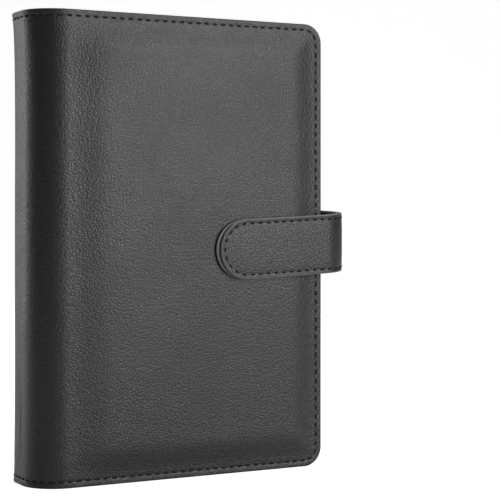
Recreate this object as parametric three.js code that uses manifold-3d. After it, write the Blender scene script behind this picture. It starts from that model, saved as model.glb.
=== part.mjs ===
// Banknote album: a padded leatherette ring binder standing closed on its lower edges.
// Millimetres, +Z up. While it is being laid out, X runs from the spine to the fore-edge,
// Y from the front cover (negative) to the back cover, and Z = 0 is the lower edge.

import * as THREE from 'three';
import Module from 'manifold-3d';
import { mergeVertices } from 'three/addons/utils/BufferGeometryUtils.js';

const wasm = await Module();
wasm.setup();

// Album outline
const coverHeight = 188;
const coverReach = 128.5;
const albumDepth = 36;
const spineRadius = 14;
const cornerRadius = 8;
const seamWidth = 3.2;
const seamShoulder = 2;

// Cover and spine layers
const skinThickness = 0.8;
const liningThickness = 0.5;
const boardThickness = 1.3;
const layerGap = 0.1;
const padRise = 1.5;
const padRun = 12;
const padSpineOffset = 5;
const cornerInsets = [0.6, 1.7];
const boardMargin = 6;
const boardCorner = 12;
const spineFoamThickness = 2.3;
const spineBoardThickness = 1.5;
const spineBoardInset = 1.2;
const spineFoamShoulder = 0.74;
const innerCornerRadius = 5.5;
const hingeGap = 0.4;

// Ring mechanism
const plateEndMargin = 4;
const plateLength = coverHeight - 2 * plateEndMargin;
const plateWidth = 19;
const plateThickness = 0.8;
const plateWallHeight = 1.4;
const plateRise = 3.3;
const plateEndRadius = 5;
const plateShoulderWidth = 0.68;
const plateShoulderHeight = 0.78;
const plateInnerBevel = 0.27;
const railThickness = 0.9;
const railEndMargin = 8.5;
const railClearance = 0.3;
const railGap = 0.3;
const railSideGap = 0.2;
const ringRadius = 12;
const wireRadius = 1.25;
const wireEndAngle = 145;
const wireEndGap = 0.35;
const wireSlotGap = 0.5;
const ringTipGap = 0.3;
const ringPitch = 19;
const ringMiddlePitch = 51;
const rivetEndMargin = 6.5;
const rivetSpacing = plateLength - 2 * rivetEndMargin;
const railLength = rivetSpacing - 2 * railEndMargin;
const rivetHeadRadius = 3.2;
const rivetHeadHeight = 1.2;
const rivetShankRadius = 1.6;
const rivetClearance = 0.35;
const rivetDome = [[1, 0], [0.86, 0.6], [0.5, 0.93], [0, 1]];

// Sleeves and notes
const sleeveCount = 8;
const sleevePitch = 1.35;
const sleeveWidth = 100;
const sleeveHeight = 175;
const sleeveCorner = 3;
const sleeveFilm = 0.2;
const sleeveHollow = 0.6;
const sleeveWeld = 2;
const bindingStrip = 13;
const pocketSlit = 0.9;
const holeRadius = 2.65;
const holeMargin = 4.8;
const holeSlack = 1.03;
const noteWidth = 66;
const noteHeight = 156;
const noteThickness = 0.12;

// Card pockets and pen loop on the inside of the front cover
const pocketThickness = 0.5;
const panelWidth = 73;
const panelMargin = 5.6;
const pocketFoot = 20.4;
const pocketDrops = [55.6, 74.8, 94.7];
const loopLength = 23;
const loopHeight = 19.5;
const loopRise = 7.6;
const loopWall = 1.1;
const loopArch = 19;
const loopDrop = 23.5;
const loopInset = 0.4;

// Closing strap
const strapWidth = 25;
const strapLayer = 1.2;
const strapLayerGap = 0.2;
const strapOverlap = 48;
const strapLift = 0.4;
const strapRootGap = 0.3;
const strapTipDrop = 1.2;
const strapSkew = 5;
const strapRootOut = 0.6;
const strapBendFlattening = 0.75;
const magnetRadius = 7;
const magnetThickness = 1;
const magnetClearance = 0.3;
const magnetFromTip = 14;
const tipAngles = [90, 68, 48, 30, 14];

// Facets of the round shapes, and how far a cutter runs past what it cuts
const discSides = 20;
const barSides = 16;
const holeSides = 12;
const archSteps = 12;
const cornerSteps = 5;
const wireSides = 4;
const cutterReach = 1;

// Values worked out from the sizes above
const halfDepth = albumDepth / 2;
const spineFlat = halfDepth - spineRadius;
const midHeight = coverHeight / 2;
const coverDepth = skinThickness + boardThickness + liningThickness + 3 * layerGap;
const spineDepth = skinThickness + spineFoamThickness + spineBoardThickness + liningThickness + 3 * layerGap;
const innerHalf = halfDepth - coverDepth;
const innerFlat = innerHalf - innerCornerRadius;
const hingeX = spineRadius * (1 - Math.PI / 4);
const hingeY = spineFlat + spineRadius * Math.PI / 4;
const railBase = spineDepth + railClearance;
const railTop = railBase + railThickness;
const wireEndCos = Math.cos(THREE.MathUtils.degToRad(180 - wireEndAngle));
const ringCentre = railTop + wireEndGap + (ringRadius + wireRadius) * wireEndCos;
const plateBase = spineDepth + layerGap;
const ringHeights = [-1, 1].flatMap((side) => [0, 1, 2].map((step) =>
  midHeight + side * (ringMiddlePitch / 2 + step * ringPitch))).sort((a, b) => a - b);
const sleeveThickness = 2 * sleeveFilm + sleeveHollow;
const strapThickness = 2 * strapLayer + strapLayerGap;
const strapFrontY = -(halfDepth + padRise + strapLift + strapThickness / 2);
const strapRootY = halfDepth + strapRootOut - strapThickness / 2;
const strapBendX = coverReach + strapRootGap;
const strapBendRadius = (strapRootY - strapFrontY) / 2;
const strapBendY = (strapRootY + strapFrontY) / 2;
const strapTipX = coverReach - strapOverlap;
const strapTipZ = midHeight - strapTipDrop;
const magnetX = strapTipX + magnetFromTip;

// Finishes
const leather = { color: 0x2b2b2c, roughness: 0.55, metalness: 0 };
const liningLeather = { color: 0x1c1c1d, roughness: 0.6, metalness: 0 };
const foam = { color: 0x77777a, roughness: 0.95, metalness: 0 };
const board = { color: 0x8d8676, roughness: 0.9, metalness: 0 };
const chrome = { color: 0xd5d8dc, roughness: 0.12, metalness: 1 };
const magnetSteel = { color: 0x9a9c9f, roughness: 0.35, metalness: 1 };
const clearFilm = { color: 0xe9eef2, roughness: 0.15, metalness: 0, transparent: true, opacity: 0.35 };
const notePaper = { color: 0xb9b49a, roughness: 0.85, metalness: 0 };

const album = new THREE.Group();

function addPiece(name, geometry, finish) {
  geometry.computeVertexNormals();
  const mesh = new THREE.Mesh(geometry, new THREE.MeshStandardMaterial(finish));
  mesh.name = name;
  album.add(mesh);
  return mesh;
}

function blendStep(from, to, value) {
  return THREE.MathUtils.smoothstep(value, from, to);
}

// Solids from grids and shapes

function signedVolume(points, faces) {
  let sum = 0;
  for (const [a, b, c] of faces) {
    sum += points[a].dot(points[b].clone().cross(points[c])) / 6;
  }
  return sum;
}

function solidFromFaces(points, faces) {
  const outward = signedVolume(points, faces) > 0 ? faces : faces.map(([a, b, c]) => [a, c, b]);
  const geometry = new THREE.BufferGeometry();
  const values = points.flatMap((point) => point.toArray());
  geometry.setAttribute('position', new THREE.Float32BufferAttribute(values, 3));
  geometry.setIndex(outward.flat());
  return geometry;
}

// A closed sheet between two point grids of the same size.
function sheetSolid(columns, rows, outerPoint, innerPoint) {
  const points = [];
  for (const place of [outerPoint, innerPoint]) {
    for (let i = 0; i < columns; i += 1) {
      for (let j = 0; j < rows; j += 1) {
        points.push(place(i, j));
      }
    }
  }
  const back = columns * rows;
  const faces = [];
  const quad = (a, b, c, d) => faces.push([a, b, c], [a, c, d]);
  for (let i = 0; i < columns - 1; i += 1) {
    for (let j = 0; j < rows - 1; j += 1) {
      const a = i * rows + j;
      quad(a, a + rows, a + rows + 1, a + 1);
      quad(back + a, back + a + 1, back + a + rows + 1, back + a + rows);
    }
  }
  for (let i = 0; i < columns - 1; i += 1) {
    const low = i * rows;
    const high = low + rows - 1;
    quad(low, back + low, back + low + rows, low + rows);
    quad(high, high + rows, back + high + rows, back + high);
  }
  for (let j = 0; j < rows - 1; j += 1) {
    const end = (columns - 1) * rows + j;
    quad(j, j + 1, back + j + 1, back + j);
    quad(end, back + end, back + end + 1, end + 1);
  }
  return solidFromFaces(points, faces);
}

function toSolid(geometry) {
  const plain = geometry.clone();
  plain.deleteAttribute('normal');
  plain.deleteAttribute('uv');
  const merged = mergeVertices(plain, 1e-4);
  return new wasm.Manifold(new wasm.Mesh({
    numProp: 3,
    vertProperties: new Float32Array(merged.attributes.position.array),
    triVerts: new Uint32Array(merged.index.array),
  }));
}

function fromSolid(solid) {
  const mesh = solid.getMesh();
  const geometry = new THREE.BufferGeometry();
  geometry.setAttribute('position', new THREE.BufferAttribute(new Float32Array(mesh.vertProperties), 3));
  geometry.setIndex(new THREE.BufferAttribute(new Uint32Array(mesh.triVerts), 1));
  return geometry;
}

function cutAll(base, cutters) {
  return fromSolid(cutters.reduce((solid, cutter) => solid.subtract(toSolid(cutter)), toSolid(base)));
}

function boxBetween(low, high) {
  const size = high.map((value, axis) => value - low[axis]);
  const box = new THREE.BoxGeometry(...size);
  return box.translate(...low.map((value, axis) => value + size[axis] / 2));
}

// A round bar along X or Y, from one end to the other.
function barAlong(axis, radius, from, to, centre, sides = barSides) {
  const bar = new THREE.CylinderGeometry(radius, radius, to - from, sides);
  if (axis === 'x') {
    bar.rotateZ(-Math.PI / 2);
    return bar.translate((from + to) / 2, centre[0], centre[1]);
  }
  return bar.translate(centre[0], (from + to) / 2, centre[1]);
}

// A flat plate in the XZ plane with rounded corners, between two Y values.
function roundedPlate(low, high, radii) {
  const [x0, y0, z0] = low;
  const [x1, y1, z1] = high;
  const [spineSide, foreSide] = radii;
  const shape = new THREE.Shape();
  shape.moveTo(x0 + spineSide, z0);
  shape.lineTo(x1 - foreSide, z0);
  shape.absarc(x1 - foreSide, z0 + foreSide, foreSide, -Math.PI / 2, 0);
  shape.absarc(x1 - foreSide, z1 - foreSide, foreSide, 0, Math.PI / 2);
  shape.lineTo(x0 + spineSide, z1);
  if (spineSide > 0) {
    shape.absarc(x0 + spineSide, z1 - spineSide, spineSide, Math.PI / 2, Math.PI);
    shape.absarc(x0 + spineSide, z0 + spineSide, spineSide, Math.PI, 1.5 * Math.PI);
  }
  const plate = new THREE.ExtrudeGeometry(shape, {
    depth: y1 - y0,
    bevelEnabled: false,
    curveSegments: cornerSteps,
  });
  plate.rotateX(Math.PI / 2);
  return plate.translate(0, y1, 0);
}

// Plan curves of the outer skin and of the lining, on the front side (negative Y)

function skinPlan(column, offset) {
  if (column.kind === 'spine') {
    return [offset, -column.at * spineFlat];
  }
  if (column.kind === 'bend') {
    const radius = spineRadius - offset;
    return [
      spineRadius - radius * Math.cos(column.skinAngle),
      -spineFlat - radius * Math.sin(column.skinAngle),
    ];
  }
  return [column.at, -halfDepth + offset];
}

// depth is 0 on the hidden face of the lining and liningThickness on its open face.
function liningPlan(column, depth) {
  if (column.kind === 'spine') {
    return [spineDepth - liningThickness + depth, -column.at * innerFlat];
  }
  if (column.kind === 'bend') {
    const radius = innerCornerRadius + liningThickness - depth;
    return [
      spineDepth + innerCornerRadius - radius * Math.cos(column.liningAngle),
      -innerFlat - radius * Math.sin(column.liningAngle),
    ];
  }
  return [column.at, -innerHalf - liningThickness + depth];
}

// The cover swings about a line just outside the middle of the bend. Skin and lining are parted on the
// plane through that line, so that both halves of the bend open away from each other.
const partingHalf = hingeGap / 2;
const skinParting = Math.asin(partingHalf / (spineRadius - skinThickness));
const liningCentreOff = ((spineDepth + innerCornerRadius - hingeX) - (hingeY - innerFlat)) / Math.SQRT2;
const liningCoverAngle = Math.PI / 4
  + Math.asin((partingHalf - liningCentreOff) / (innerCornerRadius + liningThickness));
const liningSpineAngle = Math.PI / 4 + Math.asin((-partingHalf - liningCentreOff) / innerCornerRadius);

const bendSteps = 4;

function bendColumns(skinFrom, skinTo, liningFrom, liningTo) {
  return Array.from({ length: bendSteps + 1 }, (unused, step) => ({
    kind: 'bend',
    skinAngle: THREE.MathUtils.lerp(skinFrom, skinTo, step / bendSteps),
    liningAngle: THREE.MathUtils.lerp(liningFrom, liningTo, step / bendSteps),
  }));
}

// Columns run along the plan curve, and rows up the height at set distances from the ends.
const seamInner = seamWidth + seamShoulder;
const rowInsets = [0, seamWidth, seamInner, seamInner + padRun / 3, seamWidth + padRun];
const rowHeights = (foot) => [
  ...rowInsets.map((inset) => foot + inset),
  midHeight,
  ...rowInsets.map((inset) => coverHeight - foot - inset).reverse(),
];
const padStart = spineRadius + padSpineOffset;
const padEnd = padStart + padRun;
const coverColumns = [
  ...bendColumns(Math.PI / 4 + skinParting, Math.PI / 2, liningCoverAngle, Math.PI / 2),
  ...[padStart, (padStart + padEnd) / 2, padEnd, coverReach / 2 + padStart / 2]
    .map((at) => ({ kind: 'flat', at })),
  ...[...rowInsets, ...cornerInsets].sort((a, b) => b - a)
    .map((inset) => ({ kind: 'flat', at: coverReach - inset })),
];
const spineHalfColumns = bendColumns(0, Math.PI / 4 - skinParting, 0, liningSpineAngle);
const rowCount = rowHeights(0).length;

function cornerFoot(column) {
  const past = column.kind === 'flat' ? column.at - (coverReach - cornerRadius) : 0;
  return past > 0 ? cornerRadius - Math.sqrt(Math.max(cornerRadius ** 2 - past ** 2, 0)) : 0;
}

// Distance from the sewn edge: lower end, upper end or fore-edge, round the corners too.
function edgeDistance(column, z) {
  const fromEnd = Math.min(z, coverHeight - z);
  if (column.kind !== 'flat') {
    return fromEnd;
  }
  const fromFore = coverReach - column.at;
  if (fromFore < cornerRadius && fromEnd < cornerRadius) {
    return cornerRadius - Math.hypot(cornerRadius - fromFore, cornerRadius - fromEnd);
  }
  return Math.min(fromEnd, fromFore);
}

function padHeight(column, z) {
  if (column.kind !== 'flat') {
    return 0;
  }
  const round = blendStep(seamWidth, seamWidth + padRun, edgeDistance(column, z));
  return padRise * round * blendStep(spineRadius, padEnd, column.at);
}

function skinPoint(column, z, side, under) {
  const [x, y] = skinPlan(column, under - padHeight(column, z));
  return new THREE.Vector3(x, -side * y, z);
}

// The lining lies against the skin along the seam and steps in over the board.
function liningPoint(column, z, side, depth) {
  const step = blendStep(seamWidth, seamInner, edgeDistance(column, z));
  const seam = skinPlan(column, skinThickness + layerGap + depth);
  const inner = liningPlan(column, depth);
  const [x, y] = [0, 1].map((axis) => THREE.MathUtils.lerp(seam[axis], inner[axis], step));
  return new THREE.Vector3(x, -side * y, z);
}

function leatherSheet(columns, place, outerDepth, innerDepth) {
  const heights = columns.map((column) => rowHeights(cornerFoot(column)));
  return sheetSolid(
    columns.length,
    rowCount,
    (i, j) => place(columns[i], heights[i][j], columns[i].side, outerDepth),
    (i, j) => place(columns[i], heights[i][j], columns[i].side, innerDepth),
  );
}

const onSide = (columns, side) => columns.map((column) => ({ ...column, side }));

// Covers: skin, foam, board and lining. side is -1 at the front and 1 at the back.

const foamColumns = coverColumns.filter((column) => column.kind === 'flat'
  && column.at > padStart && column.at < coverReach - seamInner);
const foamFirstRow = 3;

function coverFoam(side) {
  const columns = onSide(foamColumns, side);
  const heights = rowHeights(0).slice(foamFirstRow, rowCount - foamFirstRow);
  return sheetSolid(
    columns.length,
    heights.length,
    (i, j) => skinPoint(columns[i], heights[j], side, skinThickness + layerGap),
    (i, j) => new THREE.Vector3(columns[i].at, side * (halfDepth - skinThickness - layerGap), heights[j]),
  );
}

function coverBoard(side) {
  const outer = halfDepth - skinThickness - 2 * layerGap;
  const inner = outer - boardThickness;
  const [low, high] = side < 0 ? [-outer, -inner] : [inner, outer];
  return roundedPlate(
    [spineRadius + innerCornerRadius, low, boardMargin],
    [coverReach - boardMargin, high, coverHeight - boardMargin],
    [0, boardCorner],
  );
}

function coverMagnetBar(radius) {
  const outerFace = halfDepth - skinThickness + padRise - 2 * layerGap;
  return barAlong('y', radius, -outerFace, -outerFace + magnetThickness, [magnetX, strapTipZ], discSides);
}

for (const [name, side] of [['front_cover', -1], ['back_cover', 1]]) {
  const columns = onSide(coverColumns, side);
  addPiece(`${name}_skin`, leatherSheet(columns, skinPoint, 0, skinThickness), leather);
  const pad = coverFoam(side);
  const magnetHole = barAlong(
    'y',
    magnetRadius + magnetClearance,
    -albumDepth,
    0,
    [magnetX, strapTipZ],
    discSides,
  );
  addPiece(`${name}_foam`, side < 0 ? cutAll(pad, [magnetHole]) : pad, foam);
  addPiece(`${name}_board`, coverBoard(side), board);
  addPiece(`${name}_lining`, leatherSheet(columns, liningPoint, 0, liningThickness), liningLeather);
}
addPiece('cover_magnet', coverMagnetBar(magnetRadius), magnetSteel);

// Spine: skin, foam, board and lining, with the rivet holes

const spineColumns = [
  ...onSide(spineHalfColumns, -1).reverse(),
  ...onSide(spineHalfColumns, 1),
];
const rivetHeights = [-1, 1].map((end) => midHeight + end * rivetSpacing / 2);
const spineBoardHalf = innerFlat - spineBoardInset;
const rivetHoles = (from, to) => rivetHeights.map((z) =>
  barAlong('x', rivetShankRadius + rivetClearance, from, to, [0, z]));

addPiece('spine_skin', leatherSheet(spineColumns, skinPoint, 0, skinThickness), leather);

const spineFoamOuter = (y) => {
  const radius = spineRadius - skinThickness - layerGap;
  const past = Math.max(Math.abs(y) - spineFlat, 0);
  return spineRadius - Math.sqrt(radius ** 2 - past ** 2);
};
const spineFoamHalfSteps = [spineFlat / spineBoardHalf, spineFoamShoulder, 1];
const spineFoamSteps = [...spineFoamHalfSteps.map((step) => -step).reverse(), ...spineFoamHalfSteps];
const spineFoamEnds = [boardMargin, coverHeight - boardMargin];
const spineBoardOuter = spineDepth - liningThickness - layerGap - spineBoardThickness;
addPiece('spine_foam', sheetSolid(
  spineFoamSteps.length,
  spineFoamEnds.length,
  (i, j) => new THREE.Vector3(
    spineFoamOuter(spineFoamSteps[i] * spineBoardHalf),
    spineFoamSteps[i] * spineBoardHalf,
    spineFoamEnds[j],
  ),
  (i, j) => new THREE.Vector3(spineBoardOuter - layerGap, spineFoamSteps[i] * spineBoardHalf, spineFoamEnds[j]),
), foam);
addPiece('spine_board', cutAll(
  boxBetween(
    [spineBoardOuter, -spineBoardHalf, boardMargin],
    [spineBoardOuter + spineBoardThickness, spineBoardHalf, coverHeight - boardMargin],
  ),
  rivetHoles(spineBoardOuter - cutterReach, spineDepth),
), board);
addPiece('spine_lining', cutAll(
  leatherSheet(spineColumns, liningPoint, 0, liningThickness),
  rivetHoles(0, spineDepth + cutterReach),
), liningLeather);

// Ring mechanism: arched plate, two rails, two rivets and six rings of two halves

function plateProfile() {
  const half = plateWidth / 2;
  const crown = plateShoulderWidth * half;
  const shoulder = plateBase + plateShoulderHeight * plateRise;
  const outer = [
    [plateBase, -half],
    [plateBase + plateWallHeight, -half],
    [shoulder, -crown],
    [plateBase + plateRise, 0],
    [shoulder, crown],
    [plateBase + plateWallHeight, half],
    [plateBase, half],
  ];
  const inner = [
    [plateBase, half - plateThickness],
    [plateBase + plateWallHeight - plateInnerBevel, half - plateThickness],
    [shoulder - plateThickness, crown - plateInnerBevel],
    [plateBase + plateRise - plateThickness, 0],
    [shoulder - plateThickness, -crown + plateInnerBevel],
    [plateBase + plateWallHeight - plateInnerBevel, -half + plateThickness],
    [plateBase, -half + plateThickness],
  ];
  return new THREE.Shape([...outer, ...inner].map(([x, y]) => new THREE.Vector2(x, y)));
}

const plateFoot = midHeight - plateLength / 2;
const plateBlank = new THREE.ExtrudeGeometry(plateProfile(), { depth: plateLength, bevelEnabled: false })
  .translate(0, 0, plateFoot);
const plateOutline = roundedPlate(
  [-plateWidth / 2, plateBase - cutterReach, plateFoot],
  [plateWidth / 2, plateBase + plateRise + cutterReach, plateFoot + plateLength],
  [plateEndRadius, plateEndRadius],
).rotateZ(-Math.PI / 2);
const wireRoot = THREE.MathUtils.degToRad(wireEndAngle);
const slotInner = (ringRadius - wireRadius) * Math.sin(wireRoot) - wireSlotGap;
const slotOuter = plateWidth / 2 - plateThickness / 2;
const slotBoxes = ringHeights.flatMap((z) => [-1, 1].map((side) => boxBetween(
  [railTop + wireEndGap, side < 0 ? -slotOuter : slotInner, z - wireRadius - wireSlotGap],
  [plateBase + plateRise + cutterReach, side < 0 ? -slotInner : slotOuter, z + wireRadius + wireSlotGap],
)));
const plateCut = toSolid(plateBlank).intersect(toSolid(plateOutline));
const plateHoles = rivetHoles(plateBase - cutterReach, plateBase + plateRise + cutterReach);
addPiece('ring_base_plate', cutAll(fromSolid(plateCut), [...slotBoxes, ...plateHoles]), chrome);

const railOuter = plateWidth / 2 - plateThickness - railSideGap;

function railBox(side) {
  const edges = [side * railGap / 2, side * railOuter].sort((a, b) => a - b);
  return boxBetween(
    [railBase, edges[0], midHeight - railLength / 2],
    [railTop, edges[1], midHeight + railLength / 2],
  );
}

function halfRing(side, z) {
  const tip = ringTipGap / 2 / ringRadius;
  const arc = new THREE.CatmullRomCurve3(Array.from({ length: archSteps + 1 }, (unused, step) => {
    const angle = THREE.MathUtils.lerp(tip, wireRoot, step / archSteps);
    return new THREE.Vector3(
      ringCentre + ringRadius * Math.cos(angle),
      side * ringRadius * Math.sin(angle),
      z,
    );
  }));
  const section = new THREE.Shape();
  section.absarc(0, 0, wireRadius, 0, 2 * Math.PI);
  return new THREE.ExtrudeGeometry(section, {
    steps: archSteps - 1,
    extrudePath: arc,
    bevelEnabled: false,
    curveSegments: wireSides,
  });
}

for (const [name, side] of [['front', -1], ['back', 1]]) {
  addPiece(`${name}_rail`, railBox(side), chrome);
  ringHeights.forEach((z, index) => {
    addPiece(`${name}_half_ring_${index + 1}`, halfRing(side, z), chrome);
  });
}

const plateCrown = plateBase + plateRise;

function rivet(z) {
  const shankLength = plateCrown + layerGap - spineBoardOuter;
  const profile = [
    [0, -shankLength],
    [rivetShankRadius, -shankLength],
    [rivetShankRadius, 0],
    ...rivetDome.map(([out, up]) => [out * rivetHeadRadius, up * rivetHeadHeight]),
  ].map(([radius, height]) => new THREE.Vector2(radius, height));
  return new THREE.LatheGeometry(profile, barSides).rotateZ(-Math.PI / 2)
    .translate(plateCrown + layerGap, 0, z);
}

rivetHeights.forEach((z, index) => addPiece(`plate_rivet_${index + 1}`, rivet(z), chrome));

// Sleeves, each with one note. Each hangs where the rings pass through it.

const sleeveFoot = midHeight - sleeveHeight / 2;

function sleevePiece(x0, y) {
  const half = sleeveThickness / 2;
  const blank = roundedPlate(
    [x0, y - half, sleeveFoot],
    [x0 + sleeveWidth, y + half, sleeveFoot + sleeveHeight],
    [sleeveCorner, sleeveCorner],
  );
  const hollow = boxBetween(
    [x0 + bindingStrip, y - sleeveHollow / 2, sleeveFoot + sleeveWeld],
    [x0 + sleeveWidth - sleeveWeld, y + sleeveHollow / 2, sleeveFoot + sleeveHeight - sleeveWeld],
  );
  const slit = boxBetween(
    [x0 + bindingStrip, y - sleeveThickness, sleeveFoot + 2 * sleeveWeld],
    [x0 + bindingStrip + pocketSlit, y, sleeveFoot + sleeveHeight - 2 * sleeveWeld],
  );
  const holes = ringHeights.map((z) =>
    barAlong('y', holeRadius, y - sleeveThickness, y + sleeveThickness, [x0 + holeMargin, z], holeSides));
  return cutAll(blank, [hollow, slit, ...holes]);
}

function notePiece(x0, y) {
  const pocketMiddle = x0 + (bindingStrip + sleeveWidth - sleeveWeld) / 2;
  return boxBetween(
    [pocketMiddle - noteWidth / 2, y - noteThickness / 2, midHeight - noteHeight / 2],
    [pocketMiddle + noteWidth / 2, y + noteThickness / 2, midHeight + noteHeight / 2],
  );
}

for (let index = 0; index < sleeveCount; index += 1) {
  const y = (index - (sleeveCount - 1) / 2) * sleevePitch;
  const wireX = ringCentre + Math.sqrt(ringRadius ** 2 - y ** 2);
  const x0 = wireX + holeSlack - holeMargin;
  addPiece(`sleeve_${index + 1}`, sleevePiece(x0, y), clearFilm);
  addPiece(`note_${index + 1}`, notePiece(x0, y), notePaper);
}

// Inside the front cover: slip panel, card pockets and pen loop

const liningFace = -innerHalf;
const panelRight = coverReach - panelMargin;
const pocketLayer = (index) => liningFace + layerGap + index * (pocketThickness + layerGap);
addPiece('slip_panel', boxBetween(
  [panelRight - panelWidth, pocketLayer(0), panelMargin],
  [panelRight, pocketLayer(0) + pocketThickness, coverHeight - panelMargin],
), liningLeather);
pocketDrops.forEach((drop, index) => {
  const layer = pocketLayer(index + 1);
  addPiece(`card_pocket_${index + 1}`, boxBetween(
    [panelRight - panelWidth, layer, pocketFoot],
    [panelRight, layer + pocketThickness, coverHeight - drop],
  ), liningLeather);
});

function penLoop() {
  const half = loopArch / 2;
  const start = Math.asin(loopWall / loopRise);
  const shape = new THREE.Shape();
  shape.moveTo(0, 0);
  shape.lineTo(loopLength, 0);
  shape.lineTo(loopLength, loopWall);
  for (let step = 0; step < archSteps; step += 1) {
    const angle = THREE.MathUtils.lerp(start, Math.PI, step / archSteps);
    shape.lineTo(half + half * Math.cos(angle), loopRise * Math.sin(angle));
  }
  const hole = new THREE.Path();
  for (let step = 0; step <= archSteps; step += 1) {
    const angle = Math.PI * step / archSteps;
    const point = [
      half + (half - loopWall) * Math.cos(angle),
      loopWall + (loopRise - 2 * loopWall) * Math.sin(angle),
    ];
    if (step === 0) {
      hole.moveTo(...point);
    } else {
      hole.lineTo(...point);
    }
  }
  shape.holes.push(hole);
  return new THREE.ExtrudeGeometry(shape, { depth: loopHeight, bevelEnabled: false })
    .translate(panelRight - loopLength - loopInset, pocketLayer(1), coverHeight - loopDrop - loopHeight);
}

addPiece('pen_loop', penLoop(), leather);

// Closing strap: it leaves the fore-edge of the back cover, turns round and lies on the front

const tipRadius = strapWidth / 2;
const bendLength = Math.PI * strapBendRadius;
const strapLength = bendLength + strapBendX - strapTipX;
const strapStations = [
  ...Array.from({ length: archSteps + 1 }, (unused, step) => bendLength * step / archSteps),
  strapLength - tipRadius - magnetRadius,
  ...tipAngles.map((angle) => strapLength - tipRadius
    + tipRadius * Math.cos(THREE.MathUtils.degToRad(angle))),
];

function strapPoint(along, across, lift) {
  const left = strapLength - along;
  const past = Math.max(along - (strapLength - tipRadius), 0);
  const width = Math.sqrt(Math.max(tipRadius ** 2 - past ** 2, 0));
  const z = strapTipZ + strapSkew * Math.max(left - tipRadius, 0) / strapLength + across * width;
  if (along <= bendLength) {
    const angle = Math.PI / 2 - along / strapBendRadius;
    const radius = strapBendRadius + lift;
    return new THREE.Vector3(
      strapBendX + strapBendFlattening * radius * Math.cos(angle),
      strapBendY + radius * Math.sin(angle),
      z,
    );
  }
  return new THREE.Vector3(strapBendX - (along - bendLength), strapFrontY - lift, z);
}

function strapSheet(outerLift, innerLift) {
  const place = (lift) => (i, j) => strapPoint(strapStations[i], 2 * j - 1, lift);
  return sheetSolid(strapStations.length, 2, place(outerLift), place(innerLift));
}

const strapRecess = barAlong(
  'y',
  magnetRadius + magnetClearance,
  strapFrontY - magnetThickness / 2 - layerGap,
  strapFrontY + magnetThickness / 2 + layerGap,
  [magnetX, strapTipZ],
  discSides,
);
const halfLayerGap = strapLayerGap / 2;
addPiece('strap_outer', cutAll(
  strapSheet(halfLayerGap + strapLayer, halfLayerGap),
  [strapRecess],
), leather);
addPiece('strap_lining', cutAll(
  strapSheet(-halfLayerGap, -halfLayerGap - strapLayer),
  [strapRecess],
), liningLeather);
addPiece('strap_magnet', barAlong(
  'y',
  magnetRadius,
  strapFrontY - magnetThickness / 2,
  strapFrontY + magnetThickness / 2,
  [magnetX, strapTipZ],
  discSides,
), magnetSteel);

// The origin is under the middle of the whole album, on the surface that it stands on.
const extent = new THREE.Box3().setFromObject(album);
const middlePoint = extent.getCenter(new THREE.Vector3());
album.position.set(-middlePoint.x, -middlePoint.y, -extent.min.z);
album.updateMatrixWorld(true);

export default album;
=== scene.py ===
import math

import bmesh
import bpy
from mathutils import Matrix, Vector, noise


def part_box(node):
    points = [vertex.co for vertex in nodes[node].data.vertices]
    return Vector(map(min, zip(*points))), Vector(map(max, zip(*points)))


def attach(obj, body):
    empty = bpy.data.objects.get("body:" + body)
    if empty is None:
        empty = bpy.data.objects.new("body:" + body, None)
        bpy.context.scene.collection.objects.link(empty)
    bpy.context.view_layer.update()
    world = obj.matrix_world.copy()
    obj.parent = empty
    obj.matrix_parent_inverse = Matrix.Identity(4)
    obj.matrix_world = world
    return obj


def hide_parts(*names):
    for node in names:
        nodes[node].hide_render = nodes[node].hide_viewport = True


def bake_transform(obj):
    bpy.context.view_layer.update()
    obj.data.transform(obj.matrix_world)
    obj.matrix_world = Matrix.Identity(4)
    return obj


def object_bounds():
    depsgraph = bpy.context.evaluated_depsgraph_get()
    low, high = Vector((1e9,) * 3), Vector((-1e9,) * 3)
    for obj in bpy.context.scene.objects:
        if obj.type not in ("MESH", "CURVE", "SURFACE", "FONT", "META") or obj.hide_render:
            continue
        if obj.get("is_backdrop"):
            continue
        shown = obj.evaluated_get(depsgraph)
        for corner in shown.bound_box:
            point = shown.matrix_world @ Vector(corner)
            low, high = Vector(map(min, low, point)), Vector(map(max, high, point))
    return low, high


# Banknote album: a black padded leatherette ring binder, closed and upright.
# Sizes in the dictionaries are millimetres where no note says metres; place() makes metres of them.
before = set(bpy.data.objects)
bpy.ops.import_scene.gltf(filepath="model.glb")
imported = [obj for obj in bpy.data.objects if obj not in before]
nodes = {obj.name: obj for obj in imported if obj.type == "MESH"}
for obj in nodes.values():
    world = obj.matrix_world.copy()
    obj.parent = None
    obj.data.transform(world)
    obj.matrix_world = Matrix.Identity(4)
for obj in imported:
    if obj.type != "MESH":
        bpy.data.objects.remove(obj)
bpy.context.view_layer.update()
print("frame loaded:", len(nodes), "nodes")

album = {
    "height": 188, "reach": 128.5, "depth": 36, "spineRadius": 14, "cornerRadius": 8,
    "seamWidth": 3.2, "seamShoulder": 2, "skin": 0.8, "lining": 0.5, "gap": 0.1,
    "padRise": 1.5, "padRun": 12, "padFrom": 14, "padTo": 31,
    "innerX": 5.4, "innerHalf": 15.1, "innerRadius": 5.5,
    "edgeRound": 0.45, "rim": 0.5, "softness": 0.22, "lumpRun": 34, "lumpRise": 40,
    "flareTop": 1.5, "flareFoot": 0.8, "flareRun": 9.375,
}
seam = {
    "inset": 2.6, "groove": 0.16, "grooveWidth": 0.55,
    "pitch": 3.75, "length": 2.5, "width": 1.0, "rise": 0.34,
}
midHeight = album["height"] / 2

spineLow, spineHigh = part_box("spine_skin")
spineFace = spineLow[0]
middleY = (spineLow[1] + spineHigh[1]) / 2


def place(x, y, z):
    return Vector((spineFace + x / 1000, middleY + y / 1000, z / 1000))


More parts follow.
